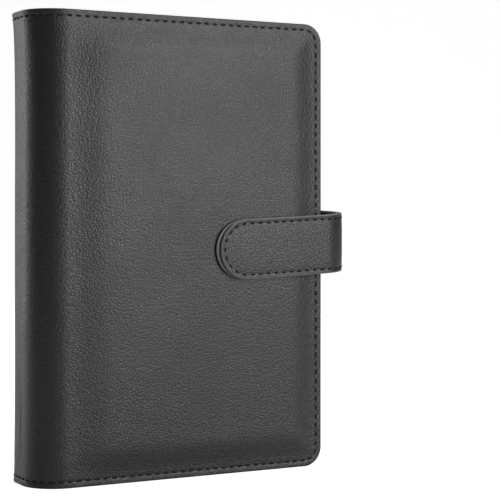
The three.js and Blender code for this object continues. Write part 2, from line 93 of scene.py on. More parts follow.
def smooth(low, high, value):
    t = min(max((value - low) / (high - low), 0), 1)
    return t * t * (3 - 2 * t)


# Small helpers for the node trees
def calc(tree, operation, *values):
    node = tree.nodes.new("ShaderNodeMath")
    node.operation = operation
    for socket, value in zip(node.inputs, values):
        if isinstance(value, (int, float)):
            socket.default_value = value
        else:
            tree.links.new(value, socket)
    return node.outputs[0]


def ramp(tree, value, low, high, toLow=0.0, toHigh=1.0):
    node = tree.nodes.new("ShaderNodeMapRange")
    node.interpolation_type = "SMOOTHSTEP"
    tree.links.new(value, node.inputs["Value"])
    for name, number in (("From Min", low), ("From Max", high), ("To Min", toLow), ("To Max", toHigh)):
        node.inputs[name].default_value = number
    return node.outputs["Result"]


def mixColour(tree, factor, first, second):
    node = tree.nodes.new("ShaderNodeMix")
    node.data_type = "RGBA"
    for index, value in ((0, factor), (6, first), (7, second)):
        if isinstance(value, bpy.types.NodeSocket):
            tree.links.new(value, node.inputs[index])
        elif index == 0:
            node.inputs[0].default_value = value
        else:
            node.inputs[index].default_value = (*value, 1)
    return node.outputs[2]


def texture(tree, kind, vector, **values):
    node = tree.nodes.new(kind)
    tree.links.new(vector, node.inputs["Vector"])
    for name, value in values.items():
        if isinstance(value, bpy.types.NodeSocket):
            tree.links.new(value, node.inputs[name])
        else:
            node.inputs[name].default_value = value
    return node


def newGroup(name, inputs, outputs):
    tree = bpy.data.node_groups.new(name, "ShaderNodeTree")
    for label, kind, value in inputs:
        socket = tree.interface.new_socket(name=label, in_out="INPUT", socket_type=kind)
        if value is not None:
            socket.default_value = value
    for label in outputs:
        tree.interface.new_socket(name=label, in_out="OUTPUT", socket_type="NodeSocketFloat")
    return tree, tree.nodes.new("NodeGroupInput").outputs, tree.nodes.new("NodeGroupOutput").inputs


def pebbleGroup():
    # rounded grains with fine creases between them
    tree, given, result = newGroup("pebbleGrain", [
        ("Vector", "NodeSocketVector", None), ("Scale", "NodeSocketFloat", 1000),
        ("Fine", "NodeSocketFloat", 0.3)], ["Height", "Crease"])
    warpScale = calc(tree, "MULTIPLY", given["Scale"], 0.35)
    warp = texture(tree, "ShaderNodeTexNoise", given["Vector"], Scale=warpScale)
    shift = tree.nodes.new("ShaderNodeVectorMath")
    shift.operation = "SCALE"
    tree.links.new(warp.outputs["Color"], shift.inputs[0])
    tree.links.new(calc(tree, "DIVIDE", 1.1, given["Scale"]), shift.inputs["Scale"])
    bent = tree.nodes.new("ShaderNodeVectorMath")
    tree.links.new(given["Vector"], bent.inputs[0])
    tree.links.new(shift.outputs[0], bent.inputs[1])
    grain = tree.nodes.new("ShaderNodeTexVoronoi")
    grain.feature = "SMOOTH_F1"
    edge = tree.nodes.new("ShaderNodeTexVoronoi")
    edge.feature = "DISTANCE_TO_EDGE"
    for node in (grain, edge):
        tree.links.new(bent.outputs[0], node.inputs["Vector"])
        tree.links.new(given["Scale"], node.inputs["Scale"])
    fineScale = calc(tree, "MULTIPLY", given["Scale"], 2.6)
    fine = texture(tree, "ShaderNodeTexNoise", given["Vector"], Scale=fineScale, Detail=3)
    crease = ramp(tree, edge.outputs["Distance"], 0.0, 0.16, 1.0, 0.0)
    top = calc(tree, "SUBTRACT", 1.0, grain.outputs["Distance"])
    body = calc(tree, "SUBTRACT", top, calc(tree, "MULTIPLY", crease, 0.45))
    height = calc(tree, "MULTIPLY_ADD", fine.outputs["Fac"], given["Fine"], body)
    tree.links.new(height, result["Height"])
    tree.links.new(crease, result["Crease"])
    return tree


def handlingGroup():
    # broad, soft patches where hands have polished or dulled a surface
    tree, given, result = newGroup("handling", [
        ("Vector", "NodeSocketVector", None), ("Scale", "NodeSocketFloat", 25),
        ("Spread", "NodeSocketFloat", 0.3)], ["Mask"])
    cloud = texture(tree, "ShaderNodeTexNoise", given["Vector"],
                    Scale=given["Scale"], Detail=4, Roughness=0.6)
    low = calc(tree, "SUBTRACT", 0.5, calc(tree, "MULTIPLY", given["Spread"], 0.5))
    share = calc(tree, "DIVIDE", calc(tree, "SUBTRACT", cloud.outputs["Fac"], low), given["Spread"])
    tree.links.new(calc(tree, "MINIMUM", calc(tree, "MAXIMUM", share, 0.0), 1.0), result["Mask"])
    return tree


def borderGroup():
    # distance to the nearest side of an upright rectangle, in metres
    sides = [(name, "NodeSocketFloat", 0) for name in ("Left", "Right", "Foot", "Top")]
    tree, given, result = newGroup(
        "borderDistance", [("Vector", "NodeSocketVector", None)] + sides, ["Distance"])
    parts = tree.nodes.new("ShaderNodeSeparateXYZ")
    tree.links.new(given["Vector"], parts.inputs[0])
    nearest = []
    for axis, low, high in (("X", "Left", "Right"), ("Z", "Foot", "Top")):
        fromLow = calc(tree, "SUBTRACT", parts.outputs[axis], given[low])
        fromHigh = calc(tree, "SUBTRACT", given[high], parts.outputs[axis])
        nearest.append(calc(tree, "MINIMUM", fromLow, fromHigh))
    tree.links.new(calc(tree, "MINIMUM", *nearest), result["Distance"])
    return tree


pebble, handling, border = pebbleGroup(), handlingGroup(), borderGroup()


def newMaterial(name, **values):
    material = bpy.data.materials.new(name)
    material.use_nodes = True
    tree = material.node_tree
    shader = tree.nodes["Principled BSDF"]
    for key, value in values.items():
        shader.inputs[key.replace("_", " ")].default_value = value
    return material, tree, shader, tree.nodes.new("ShaderNodeTexCoord").outputs["Object"]


def useGroup(tree, group, vector, **values):
    node = tree.nodes.new("ShaderNodeGroup")
    node.node_tree = group
    tree.links.new(vector, node.inputs["Vector"])
    for name, value in values.items():
        node.inputs[name].default_value = value
    return node.outputs


def addBump(tree, shader, height, distance, strength):
    node = tree.nodes.new("ShaderNodeBump")
    node.inputs["Distance"].default_value = distance
    node.inputs["Strength"].default_value = strength
    tree.links.new(height, node.inputs["Height"])
    tree.links.new(node.outputs[0], shader.inputs["Normal"])


leatherLooks = {  # grain is the pattern's scale, relief its height in metres
    "coverLeather": {
        "base": (0.010, 0.010, 0.011), "worn": (0.018, 0.018, 0.019), "rim": (0.004, 0.004, 0.004),
        "grain": 1000, "relief": 0.0002, "strength": 0.5, "smooth": 0.29, "rough": 0.37},
    "strapLeather": {
        "base": (0.008, 0.008, 0.009), "worn": (0.015, 0.015, 0.016), "rim": (0.16, 0.155, 0.15),
        "grain": 900, "relief": 0.00018, "strength": 0.5, "smooth": 0.3, "rough": 0.38},
    "insideLeather": {
        "base": (0.013, 0.013, 0.014), "worn": (0.022, 0.022, 0.023), "rim": (0.009, 0.009, 0.009),
        "grain": 1500, "relief": 0.0001, "strength": 0.3, "smooth": 0.42, "rough": 0.52},
}


def leatherMaterial(name, look):
    material, tree, shader, where = newMaterial(name, Specular_IOR_Level=0.5)
    grain = useGroup(tree, pebble, where, Scale=look["grain"], Fine=0.3)
    patches = useGroup(tree, handling, where, Scale=28, Spread=0.35)
    rim = tree.nodes.new("ShaderNodeAttribute")
    rim.attribute_name = "rim"
    colour = mixColour(tree, calc(tree, "MULTIPLY", patches["Mask"], 0.6), look["base"], look["worn"])
    # painted shade: the creases between the grains are mixed towards a darker copy of the base colour
    creaseShade = [0.45 * c for c in look["base"]]
    colour = mixColour(tree, calc(tree, "MULTIPLY", grain["Crease"], 0.55), colour, creaseShade)
    colour = mixColour(tree, rim.outputs["Fac"], colour, look["rim"])
    tree.links.new(colour, shader.inputs["Base Color"])
    rough = calc(tree, "MULTIPLY_ADD", patches["Mask"], look["smooth"] - look["rough"], look["rough"])
    tree.links.new(calc(tree, "MULTIPLY_ADD", grain["Crease"], 0.12, rough), shader.inputs["Roughness"])
    addBump(tree, shader, grain["Height"], look["relief"], look["strength"])
    return material


def threadMaterial():
    material, tree, shader, where = newMaterial("blackThread", Roughness=0.75, Specular_IOR_Level=0.2)
    twist = texture(tree, "ShaderNodeTexWave", where, Scale=900, Distortion=2.0)
    strands = mixColour(tree, twist.outputs["Fac"], (0.004, 0.004, 0.004), (0.016, 0.016, 0.017))
    tree.links.new(strands, shader.inputs["Base Color"])
    addBump(tree, shader, twist.outputs["Fac"], 0.0001, 0.5)
    return material


def metalMaterial(name, colour, smoothness, scratches):
    material, tree, shader, where = newMaterial(name, Metallic=1.0)
    patches = useGroup(tree, handling, where, Scale=60, Spread=0.4)
    lines = texture(tree, "ShaderNodeTexNoise", where, Scale=scratches, Detail=5)
    shade = mixColour(tree, patches["Mask"], colour, [0.88 * c for c in colour])
    tree.links.new(shade, shader.inputs["Base Color"])
    tree.links.new(calc(tree, "MULTIPLY_ADD", patches["Mask"], 0.07, smoothness), shader.inputs["Roughness"])
    addBump(tree, shader, lines.outputs["Fac"], 0.00002, 0.25)
    return material


def plainMaterial(name, colour, second, scale, relief, roughness):
    material, tree, shader, where = newMaterial(name, Roughness=roughness)
    cells = texture(tree, "ShaderNodeTexVoronoi", where, Scale=scale)
    patches = useGroup(tree, handling, where, Scale=scale / 8, Spread=0.5)
    tree.links.new(mixColour(tree, patches["Mask"], colour, second), shader.inputs["Base Color"])
    addBump(tree, shader, cells.outputs["Distance"], relief, 0.6)
    return material


# Weld sizes are in metres from the sleeve's edge or the strip's line.
film = {"weldFrom": 0.0016, "weldTo": 0.0022, "strip": 0.012, "lineFrom": 0.0007, "lineTo": 0.0011,
        "haze": 0.025, "weldHaze": 0.3, "roughness": 0.12, "weldRoughness": 0.25}


def filmMaterial(name, low, high):
    # clear film with milky welded borders along the outside and beside the punched strip
    material, tree, shader, where = newMaterial(
        name, Base_Color=(0.86, 0.88, 0.9, 1), Specular_IOR_Level=0.6)
    outer = useGroup(tree, border, where, Left=low[0], Right=high[0], Foot=low[2], Top=high[2])
    far = 0.1  # puts the pocket's other three sides out of reach
    pocket = useGroup(tree, border, where, Left=low[0] + film["strip"], Right=high[0] + far,
                      Foot=low[2] - far, Top=high[2] + far)
    edgeWeld = ramp(tree, outer["Distance"], film["weldFrom"], film["weldTo"], 1.0, 0.0)
    stripDistance = calc(tree, "ABSOLUTE", pocket["Distance"])
    stripWeld = ramp(tree, stripDistance, film["lineFrom"], film["lineTo"], 1.0, 0.0)
    weld = calc(tree, "MAXIMUM", edgeWeld, stripWeld)
    patches = useGroup(tree, handling, where, Scale=35, Spread=0.5)
    haze = calc(tree, "MULTIPLY_ADD", patches["Mask"], 0.03, film["haze"])
    tree.links.new(calc(tree, "MULTIPLY_ADD", weld, film["weldHaze"], haze), shader.inputs["Alpha"])
    rough = calc(tree, "MULTIPLY_ADD", weld, film["weldRoughness"], film["roughness"])
    tree.links.new(rough, shader.inputs["Roughness"])
    ripple = texture(tree, "ShaderNodeTexNoise", where, Scale=40, Detail=1)
    addBump(tree, shader, ripple.outputs["Fac"], 0.0015, 0.25)
    return material


noteColours = [  # paper, ink and accent
    ((0.60, 0.60, 0.44), (0.10, 0.20, 0.13), (0.45, 0.08, 0.08)),
    ((0.66, 0.60, 0.50), (0.16, 0.22, 0.16), (0.55, 0.16, 0.10)),
    ((0.55, 0.62, 0.60), (0.10, 0.20, 0.30), (0.40, 0.20, 0.10)),
    ((0.66, 0.55, 0.55), (0.35, 0.12, 0.18), (0.12, 0.2, 0.3)),
]
# The band is in metres from the edge; a disc is its place across and up and its radius, in millimetres.
notePattern = {"bandFrom": 0.003, "bandTo": 0.009, "bandFade": 0.0005, "rosette": (0, 4, 19),
               "petals": 12.0, "rings": 2600.0, "seal": (0, -48, 8), "rays": 24.0}


def noteMaterial(name, low, high, colours):
    # a made-up note: pale ground, engraved border, a rosette and a round seal
    paper, ink, accent = colours
    look = notePattern
    material, tree, shader, where = newMaterial(name, Roughness=0.75)
    mapping = tree.nodes.new("ShaderNodeMapping")
    mapping.inputs["Location"].default_value = [-(low[i] + high[i]) / 2 for i in range(3)]
    tree.links.new(where, mapping.inputs["Vector"])
    parts = tree.nodes.new("ShaderNodeSeparateXYZ")
    tree.links.new(mapping.outputs[0], parts.inputs[0])
    edge = useGroup(tree, border, where, Left=low[0], Right=high[0], Foot=low[2], Top=high[2])["Distance"]
    lines = texture(tree, "ShaderNodeTexWave", mapping.outputs[0], Scale=260, Distortion=6.0, Detail=2)
    shade = [0.55 * a + 0.45 * b for a, b in zip(paper, ink)]
    ground = mixColour(tree, calc(tree, "MULTIPLY", lines.outputs["Fac"], 0.35), paper, shade)
    band = calc(tree, "MULTIPLY", ramp(tree, edge, look["bandFrom"], look["bandFrom"] + look["bandFade"]),
                ramp(tree, edge, look["bandTo"] - look["bandFade"], look["bandTo"], 1.0, 0.0))
    curls = texture(tree, "ShaderNodeTexVoronoi", mapping.outputs[0], Scale=420)
    curlInk = ramp(tree, curls.outputs["Distance"], 0.2, 0.6, 0.95, 0.35)
    colour = mixColour(tree, calc(tree, "MULTIPLY", band, curlInk), ground, ink)

    def disc(acrossMm, upMm, radiusMm):
        across = calc(tree, "SUBTRACT", parts.outputs["X"], acrossMm / 1000)
        up = calc(tree, "SUBTRACT", parts.outputs["Z"], upMm / 1000)
        squares = [calc(tree, "MULTIPLY", value, value) for value in (across, up)]
        reach = calc(tree, "SQRT", calc(tree, "ADD", *squares))
        inside = ramp(tree, reach, (radiusMm - 0.4) / 1000, radiusMm / 1000, 1.0, 0.0)
        return reach, calc(tree, "ARCTAN2", up, across), inside

    reach, turn, inside = disc(*look["rosette"])
    wave = calc(tree, "SINE", calc(tree, "MULTIPLY", turn, look["petals"]))
    phase = calc(tree, "MULTIPLY_ADD", wave, 1.6, calc(tree, "MULTIPLY", reach, look["rings"]))
    petals = ramp(tree, calc(tree, "SINE", phase), -0.4, 0.6, 0.15, 0.75)
    colour = mixColour(tree, calc(tree, "MULTIPLY", inside, petals), colour, ink)
    reach, turn, inside = disc(*look["seal"])
    rays = ramp(tree, calc(tree, "SINE", calc(tree, "MULTIPLY", turn, look["rays"])), -0.5, 0.5, 0.45, 0.9)
    colour = mixColour(tree, calc(tree, "MULTIPLY", inside, rays), colour, accent)
    tree.links.new(colour, shader.inputs["Base Color"])
    fibre = texture(tree, "ShaderNodeTexNoise", where, Scale=1500, Detail=4)
    addBump(tree, shader, fibre.outputs["Fac"], 0.00004, 0.4)
    return material


leathers = {name: leatherMaterial(name, look) for name, look in leatherLooks.items()}
thread = threadMaterial()
chrome = metalMaterial("polishedChrome", (0.72, 0.73, 0.75), 0.07, 1800)
magnetSteel = metalMaterial("magnetSteel", (0.45, 0.45, 0.46), 0.3, 900)
foam = plainMaterial("paddingFoam", (0.22, 0.22, 0.23), (0.3, 0.3, 0.31), 1400, 0.0003, 0.95)
greyBoard = plainMaterial("greyBoard", (0.28, 0.25, 0.2), (0.36, 0.33, 0.27), 700, 0.0001, 0.9)
print("materials made")


# Meshes
def newObject(name, mesh, material, sharp=50):
    mesh.materials.append(material)
    mesh.shade_smooth()
    mesh.set_sharp_from_angle(angle=math.radians(sharp))
    piece = bpy.data.objects.new(name, mesh)
    bpy.context.scene.collection.objects.link(piece)
    return piece


def sheetMesh(name, outer, inner, rims):
    # closed sheet between two grids of points; rims holds how near each point is to a cut edge
    columns, rows = len(outer), len(outer[0])
    back = columns * rows
    points = [p for grid in (outer, inner) for column in grid for p in column]
    faces = []
    for i in range(columns - 1):
        for j in range(rows - 1):
            a = i * rows + j
            faces.append((a, a + rows, a + rows + 1, a + 1))
            faces.append((back + a, back + a + 1, back + a + rows + 1, back + a + rows))
        for j, turn in ((0, 1), (rows - 1, 0)):
            a = i * rows + j
            strip = (a, back + a, back + a + rows, a + rows)
            faces.append(strip if turn else strip[::-1])
    for j in range(rows - 1):
        for i, turn in ((0, 1), (columns - 1, 0)):
            a = i * rows + j
            strip = (a, a + 1, back + a + 1, back + a)
            faces.append(strip if turn else strip[::-1])
    mesh = bpy.data.meshes.new(name)
    mesh.from_pydata(points, [], faces)
    mesh.update()
    volume = 0
    for polygon in mesh.polygons:
        a, b, c, d = (mesh.vertices[i].co for i in polygon.vertices)
        volume += a.dot(b.cross(c)) + a.dot(c.cross(d))
    if volume < 0:
        mesh.flip_normals()
    flat = [value for column in rims for value in column]
    mesh.attributes.new("rim", "FLOAT", "POINT").data.foreach_set("value", flat + [1.0] * back)
    return mesh


def rimShare(distance, width):
    return 1 - smooth(width * 0.5, width, distance)


def rounding(distance, radius):
    near = max(radius - distance, 0)
    return radius - math.sqrt(max(radius ** 2 - near ** 2, 0))


# Covers and spine. s runs along the leather from the middle of the spine to the fore-edge.
flatFrom = album["depth"] / 2 - album["spineRadius"]
bendEnd = flatFrom + album["spineRadius"] * math.pi / 2
fullRun = bendEnd + album["reach"] - album["spineRadius"]


def edgeDistance(s, z):
    up = min(z, album["height"] - z)
    fore = fullRun - s
    corner = album["cornerRadius"]
    if fore < corner and up < corner:
        return corner - math.hypot(corner - fore, corner - up)
    return min(up, fore)


def planPoint(s, skinOffset, radius, spineX, half):
    # skinOffset moves the point inwards from the face at spineX and half
    flat = half - radius
    if s <= flatFrom:
        return spineX + skinOffset, s / flatFrom * flat, 0.0
    if s < bendEnd:
        angle = (s - flatFrom) / (bendEnd - flatFrom) * math.pi / 2
        reach = radius - skinOffset
        return spineX + radius - reach * math.cos(angle), flat + reach * math.sin(angle), angle
    return album["spineRadius"] + s - bendEnd, half - skinOffset, math.pi / 2


def padHeight(s, z):
    x = album["spineRadius"] + s - bendEnd
    if x <= album["padFrom"]:
        return 0
    share = smooth(album["seamWidth"], album["seamWidth"] + album["padRun"], edgeDistance(s, z))
    return album["padRise"] * share * smooth(album["padFrom"], album["padTo"], x)


def skinPoint(s, z, side, depth):
    lump = 0.0
    edge = edgeDistance(s, z)
    if edge > album["seamWidth"]:
        ease = smooth(album["seamWidth"], album["seamWidth"] * 4, edge)
        wave = noise.noise(Vector((s / album["lumpRun"], z / album["lumpRise"], side * 3.1)))
        lump = album["softness"] * ease * (0.5 + 0.5 * wave)
    x, y, angle = planPoint(s, depth - padHeight(s, z) - lump, album["spineRadius"], 0, album["depth"] / 2)
    spread = album["flareTop"] if z > midHeight else album["flareFoot"]
    flare = spread * math.exp(-min(z, album["height"] - z) / album["flareRun"])
    return place(x - flare * max(math.cos(angle), 0) ** 1.5, side * y, z)


def liningPoint(s, z, side, depth):
    lining = album["lining"]
    step = smooth(album["seamWidth"], album["seamWidth"] + album["seamShoulder"], edgeDistance(s, z))
    outer = planPoint(s, album["skin"] + album["gap"] + depth, album["spineRadius"], 0, album["depth"] / 2)
    inner = planPoint(s, depth, album["innerRadius"] + lining, album["innerX"] - lining,
                      album["innerHalf"] + lining)
    x, y = (outer[i] * (1 - step) + inner[i] * step for i in (0, 1))
    return place(x, side * y, z)


edgeSteps = [0, 0.07, 0.2, 0.42, 0.8, 1.3, 1.8, 2.2, 2.6, 3.0, 3.4,
             3.9, 4.5, 5.2, 6, 7, 8, 9.5, 11.2, 13, 15.2]
cornerSteps = [album["cornerRadius"] * (1 - math.cos(math.radians(a))) for a in range(0, 91, 9)]
foreSteps = sorted({round(v, 2) for v in edgeSteps + cornerSteps})
spineCount, bendCount, flatCount, rowCount = 3, 20, 48, 76
flatRun = fullRun - edgeSteps[-1] - bendEnd
runSteps = [flatFrom * i / spineCount for i in range(spineCount)]
runSteps += [flatFrom + (bendEnd - flatFrom) * i / bendCount for i in range(bendCount + 1)]
runSteps += [bendEnd + flatRun * i / flatCount for i in range(1, flatCount)]
runSteps += [fullRun - v for v in reversed(foreSteps)]


def rowsAt(s):
    past = s - (fullRun - album["cornerRadius"])
    corner = album["cornerRadius"]
    foot = corner - math.sqrt(max(corner ** 2 - past ** 2, 0)) if past > 0 else 0
    low = [foot + v for v in edgeSteps]
    high = [album["height"] - v for v in reversed(low)]
    return low + [low[-1] + (high[0] - low[-1]) * i / rowCount for i in range(1, rowCount)] + high


def seamDip(edge, inset):
    return seam["groove"] * math.exp(-((edge - inset) / seam["grooveWidth"]) ** 2)


def coverSheet(name, side, pointAt, thickness, openDepth, hiddenDepth, material):
    outer, inner, rims = [], [], []
    sign = 1 if openDepth < hiddenDepth else -1
    for s in runSteps:
        heights = rowsAt(s)
        edges = [edgeDistance(s, z) for z in heights]
        dips = [rounding(e, album["edgeRound"]) + seamDip(e, seam["inset"]) for e in edges]
        depths = [openDepth + sign * min(dip, thickness * 0.8) for dip in dips]
        outer.append([pointAt(s, z, side, depth) for z, depth in zip(heights, depths)])
        inner.append([pointAt(s, z, side, hiddenDepth) for z in heights])
        rims.append([rimShare(e, album["rim"]) for e in edges])
    return newObject(name, sheetMesh(name, outer, inner, rims), material)


def seamRoute(inset, step=1.0):
    # along the upper edge, round the corners, down the fore-edge and back along the foot
    corner = album["cornerRadius"] - inset
    top, fore = album["height"] - inset, fullRun - inset
    across = fore - corner
    count = int(across / step)
    route = [(across * i / count, top) for i in range(count)]
    turns = [math.pi / 2 * i / 8 for i in range(8)]
    route += [(across + corner * math.sin(a), top - corner + corner * math.cos(a)) for a in turns]
    height = top - corner - album["cornerRadius"]
    count = int(height / step)
    route += [(fore, top - corner - height * i / count) for i in range(count)]
    lower = [(s, album["height"] - z) for s, z in route if z > top - corner - 0.01]
    return route + [(fore, album["cornerRadius"])] + lower[::-1]


# Geometry node trees: stitches along a seam, and the rows of half rings
def socketId(tree, name):
    items = tree.interface.items_tree
    return next(item.identifier for item in items if item.name == name and item.in_out == "INPUT")


def geometryTree(name, sizes):
    tree = bpy.data.node_groups.new(name, "GeometryNodeTree")
    tree.interface.new_socket(name="Geometry", in_out="INPUT", socket_type="NodeSocketGeometry")
    for label, value in sizes:
        socket = tree.interface.new_socket(name=label, in_out="INPUT", socket_type="NodeSocketFloat")
        socket.default_value = value
    tree.interface.new_socket(name="Material", in_out="INPUT", socket_type="NodeSocketMaterial")
    tree.interface.new_socket(name="Geometry", in_out="OUTPUT", socket_type="NodeSocketGeometry")
    return tree, tree.nodes.new("NodeGroupInput").outputs, tree.nodes.new("NodeGroupOutput").inputs


def finishTree(tree, instances, given, result):
    last = instances
    for kind in ("GeometryNodeRealizeInstances", "GeometryNodeSetShadeSmooth", "GeometryNodeSetMaterial"):
        node = tree.nodes.new(kind)
        tree.links.new(last, node.inputs["Geometry"])
        last = node.outputs["Geometry"]
    tree.links.new(given["Material"], node.inputs["Material"])
    tree.links.new(last, result["Geometry"])


def stitchTree():
    tree, given, result = geometryTree("stitchLine", [
        ("Pitch", 0.00375), ("Half Length", 0.00125), ("Half Width", 0.0004), ("Rise", 0.0003)])
    curve = tree.nodes.new("GeometryNodeMeshToCurve")
    tree.links.new(given["Geometry"], curve.inputs["Mesh"])
    spaced = tree.nodes.new("GeometryNodeResampleCurve")
    spaced.mode = "LENGTH"
    tree.links.new(curve.outputs["Curve"], spaced.inputs["Curve"])
    tree.links.new(given["Pitch"], spaced.inputs["Length"])
    bead = tree.nodes.new("GeometryNodeMeshUVSphere")
    bead.inputs["Segments"].default_value = 8
    bead.inputs["Rings"].default_value = 6
    bead.inputs["Radius"].default_value = 1
    size = tree.nodes.new("ShaderNodeCombineXYZ")
    for socket, name in zip(size.inputs, ("Half Length", "Half Width", "Rise")):
        tree.links.new(given[name], socket)
    along = tree.nodes.new("FunctionNodeAlignRotationToVector")
    along.axis = "X"
    tree.links.new(tree.nodes.new("GeometryNodeInputTangent").outputs[0], along.inputs["Vector"])
    outward = tree.nodes.new("GeometryNodeInputNamedAttribute")
    outward.data_type = "FLOAT_VECTOR"
    outward.inputs["Name"].default_value = "outward"
    upright = tree.nodes.new("FunctionNodeAlignRotationToVector")
    upright.axis, upright.pivot_axis = "Z", "X"
    tree.links.new(along.outputs[0], upright.inputs["Rotation"])
    tree.links.new(outward.outputs["Attribute"], upright.inputs["Vector"])
    copies = tree.nodes.new("GeometryNodeInstanceOnPoints")
    tree.links.new(spaced.outputs["Curve"], copies.inputs["Points"])
    tree.links.new(bead.outputs["Mesh"], copies.inputs["Instance"])
    tree.links.new(upright.outputs[0], copies.inputs["Rotation"])
    tree.links.new(size.outputs[0], copies.inputs["Scale"])
    finishTree(tree, copies.outputs["Instances"], given, result)
    return tree


def ringTree():
    tree, given, result = geometryTree("halfRings", [
        ("Ring Radius", 0.012), ("Wire Radius", 0.00125), ("From", 0), ("Sweep", 1)])
    arc = tree.nodes.new("GeometryNodeCurveArc")
    arc.inputs["Resolution"].default_value = 44
    for socket, name in (("Radius", "Ring Radius"), ("Start Angle", "From"), ("Sweep Angle", "Sweep")):
        tree.links.new(given[name], arc.inputs[socket])
    wire = tree.nodes.new("GeometryNodeCurvePrimitiveCircle")
    wire.inputs["Resolution"].default_value = 18
    tree.links.new(given["Wire Radius"], wire.inputs["Radius"])
    tube = tree.nodes.new("GeometryNodeCurveToMesh")
    tube.inputs["Fill Caps"].default_value = True
    tree.links.new(arc.outputs["Curve"], tube.inputs["Curve"])
    tree.links.new(wire.outputs["Curve"], tube.inputs["Profile Curve"])
    copies = tree.nodes.new("GeometryNodeInstanceOnPoints")
    tree.links.new(given["Geometry"], copies.inputs["Points"])
    tree.links.new(tube.outputs["Mesh"], copies.inputs["Instance"])
    finishTree(tree, copies.outputs["Instances"], given, result)
    return tree


def runTree(name, points, edges, tree, values, outward=None):
    path = bpy.data.meshes.new(name + "Path")
    path.from_pydata(points, edges, [])
    if outward:
        directions = path.attributes.new("outward", "FLOAT_VECTOR", "POINT").data
        directions.foreach_set("vector", [c for v in outward for c in v])
    holder = bpy.data.objects.new(name + "Path", path)
    bpy.context.scene.collection.objects.link(holder)
    modifier = holder.modifiers.new("tree", "NODES")
    modifier.node_group = tree
    for key, value in values.items():
        modifier[socketId(tree, key)] = value
    depsgraph = bpy.context.evaluated_depsgraph_get()
    mesh = bpy.data.meshes.new_from_object(holder.evaluated_get(depsgraph), depsgraph=depsgraph)
    mesh.name = name
    bpy.data.objects.remove(holder)
    piece = bpy.data.objects.new(name, mesh)
    bpy.context.scene.collection.objects.link(piece)
    return piece


stitches, halfRings = stitchTree(), ringTree()


def stitchPiece(name, routes, length=None):
    points, outward, edges = [], [], []
    for route in routes:
        start = len(points)
        for point, direction in route:
            points.append(point)
            outward.append(direction)
        edges += [(start + i, start + i + 1) for i in range(len(route) - 1)]
    values = {"Pitch": seam["pitch"] / 1000, "Half Length": (length or seam["length"]) / 2000,
              "Half Width": seam["width"] / 2000, "Rise": seam["rise"] / 1000, "Material": thread}
    return runTree(name, points, edges, stitches, values, outward)


hingeX = album["spineRadius"] * (1 - math.pi / 4)
hingeY = flatFrom + album["spineRadius"] * math.pi / 4
bendRange = (-2.2, 4.6)  # along the leather from the hinge line, clear of the rails
sewnFaces = ((skinPoint, seam["groove"], -1), (liningPoint, album["lining"] - seam["groove"], 1))

for cover, side in (("front_cover", -1), ("back_cover", 1)):
    skin = coverSheet(cover + "_leather", side, skinPoint,
                      album["skin"], 0, album["skin"], leathers["coverLeather"])
    inside = coverSheet(cover + "_inside", side, liningPoint,
                        album["lining"], album["lining"], 0, leathers["insideLeather"])
    routes = []
    for pointAt, onFace, above in sewnFaces:
        route = []
        for s, z in seamRoute(seam["inset"]):
            point = pointAt(s, z, side, onFace)
            route.append((point, (pointAt(s, z, side, onFace + above) - point).normalized()))
        routes.append(route)
    sewing = stitchPiece(cover + "_stitches", routes)
    slants = [along * math.sqrt(0.5) for along in bendRange]
    start, end = (place(hingeX + v, side * (hingeY + v), midHeight) for v in slants)
    for piece in (skin, inside, sewing):
        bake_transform(piece)
    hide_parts(cover + "_skin", "spine_skin")
    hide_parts(cover + "_lining", "spine_lining")
print("covers and spine made")


# Closing strap: two sewn layers from the back cover's fore-edge round to the front.
strap = {
    "width": 25, "layer": 1.2, "layerGap": 0.2, "overlap": 50.3, "lift": 0.4, "rootGap": 0.3,
    "rootOut": 0.6, "tipDrop": 1.2, "skew": 5, "flattening": 0.75, "peek": 1.3,
    "edgeRound": 0.4, "hiddenRound": 0.3, "rim": 0.55, "crown": 0.12, "crownFrom": 2.5, "crownTo": 8,
    "seamInset": 1.9, "seamStart": 3, "stitchLength": 2.3,
}
strapThick = 2 * strap["layer"] + strap["layerGap"]
strapFront = -(album["depth"] / 2 + album["padRise"] + strap["lift"] + strapThick / 2)
strapRoot = album["depth"] / 2 + strap["rootOut"] - strapThick / 2
strapBend = album["reach"] + strap["rootGap"]
strapRadius = (strapRoot - strapFront) / 2
strapMiddle = (strapRoot + strapFront) / 2
tipX = album["reach"] - strap["overlap"]
tipZ = midHeight - strap["tipDrop"]
bendRun = math.pi * strapRadius
strapRun = bendRun + strapBend - tipX
tipRadius = strap["width"] / 2
strapFlat = strapRun - tipRadius


def strapPoint(along, across, lift):
    z = tipZ + strap["skew"] * max(strapRun - along - tipRadius, 0) / strapRun + across
    if along <= bendRun:
        angle = math.pi / 2 - along / strapRadius
        radius = strapRadius + lift
        x = strapBend + strap["flattening"] * radius * math.cos(angle)
        return place(x, strapMiddle + radius * math.sin(angle), z)
    return place(strapBend - (along - bendRun), strapFront - lift, z)


def strapEdge(along, across):
    past = along - strapFlat
    return tipRadius - (math.hypot(past, across) if past > 0 else abs(across))


tipTurns = (0, 8, 16, 24, 32, 40, 48, 55, 62, 68, 74, 79, 83, 86, 88.5)
alongCount, routeCount, tipCount = 84, 100, 24
alongSteps = [strapFlat * i / alongCount for i in range(alongCount)]
alongSteps += [strapFlat + tipRadius * math.sin(math.radians(a)) for a in tipTurns]
acrossShares = [0, 0.2, 0.4, 0.6, 0.72, 0.8, 0.85, 0.89, 0.93, 0.96, 0.98, 0.992, 1]
acrossShares = [-v for v in reversed(acrossShares[1:])] + acrossShares


